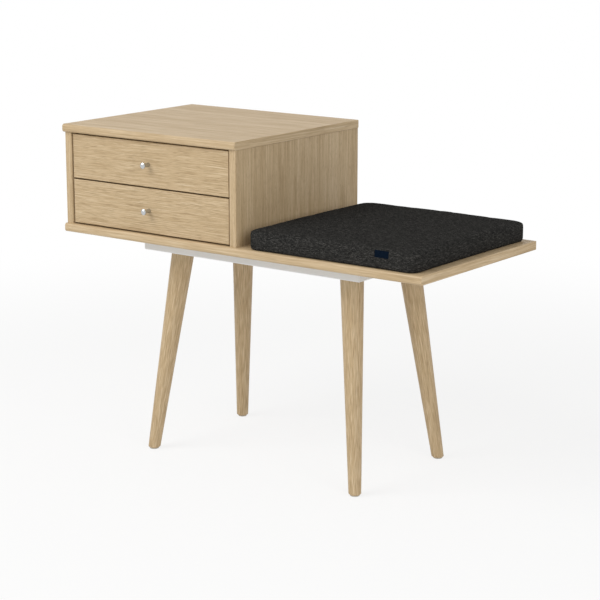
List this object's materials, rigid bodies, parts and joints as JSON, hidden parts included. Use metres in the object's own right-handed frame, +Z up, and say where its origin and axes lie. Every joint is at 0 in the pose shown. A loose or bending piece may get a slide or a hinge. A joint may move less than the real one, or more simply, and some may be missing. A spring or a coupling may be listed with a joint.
{
  "type": "hall bench",
  "caption": "Hall bench with a drawer cabinet at one end and a loose seat cushion at the other, on a tube frame with splayed, tapered round wooden legs.",
  "frame": {"origin": "on the floor, under the middle of the bench's box, knobs included", "axes": "+X towards the seat end, -Y towards the front with the drawers, +Z up"},
  "size_m": [0.85, 0.412, 0.65],
  "materials": {
    "oak": "matt lacquered oak veneer and solid oak",
    "drawer_birch": "clear lacquered birch",
    "back_board": "oak-faced hardboard",
    "beech": "plain turned or planed beech",
    "white_steel": "pale powder coat",
    "zinc_steel": "bright zinc plate",
    "chrome": "polished",
    "charcoal_fabric": "plain woven upholstery",
    "navy_label": "woven tape",
    "glide_plastic": "moulded nylon"
  },
  "bodies": {
    "root": {"seat_board": "oak", "cabinet_top": "oak", "cabinet_side_left": "oak", "cabinet_side_right": "oak", "cabinet_back": "back_board", "cabinet_dowels": "beech", "cabinet_screws": "zinc_steel", "frame_front_rail": "white_steel", "frame_rear_rail": "white_steel", "frame_left_rail": "white_steel", "frame_right_rail": "white_steel", "frame_leg_plates": "white_steel", "frame_screws": "zinc_steel", "leg_front_left": "oak", "leg_front_right": "oak", "leg_rear_left": "oak", "leg_rear_right": "oak", "leg_bolts": "zinc_steel", "leg_washers": "zinc_steel", "leg_nuts": "zinc_steel", "foot_glides": "glide_plastic", "runner_screws": "zinc_steel", "upper_runner_left": "beech", "upper_runner_right": "beech", "lower_runner_left": "beech", "lower_runner_right": "beech"},
    "upper_drawer": {"upper_drawer_front": "oak", "upper_drawer_side_left": "drawer_birch", "upper_drawer_side_right": "drawer_birch", "upper_drawer_back": "drawer_birch", "upper_drawer_bottom": "drawer_birch", "upper_drawer_dowels": "beech", "upper_knob": "chrome", "upper_knob_screw": "zinc_steel"},
    "lower_drawer": {"lower_drawer_front": "oak", "lower_drawer_side_left": "drawer_birch", "lower_drawer_side_right": "drawer_birch", "lower_drawer_back": "drawer_birch", "lower_drawer_bottom": "drawer_birch", "lower_drawer_dowels": "beech", "lower_knob": "chrome", "lower_knob_screw": "zinc_steel"},
    "cushion": {"seat_cushion": "charcoal_fabric", "cushion_label": "navy_label"}
  },
  "joints": [
    {"name": "upper_drawer_slide", "type": "slide", "parent": "root", "child": "upper_drawer", "axis": [0, -1, 0], "range_m": [0, 0.24]},
    {"name": "lower_drawer_slide", "type": "slide", "parent": "root", "child": "lower_drawer", "axis": [0, -1, 0], "range_m": [0, 0.24]},
    {"name": "cushion_lift", "type": "slide", "parent": "root", "child": "cushion", "axis": [0, 0, 1], "range_m": [0, 0.15]}
  ]
}
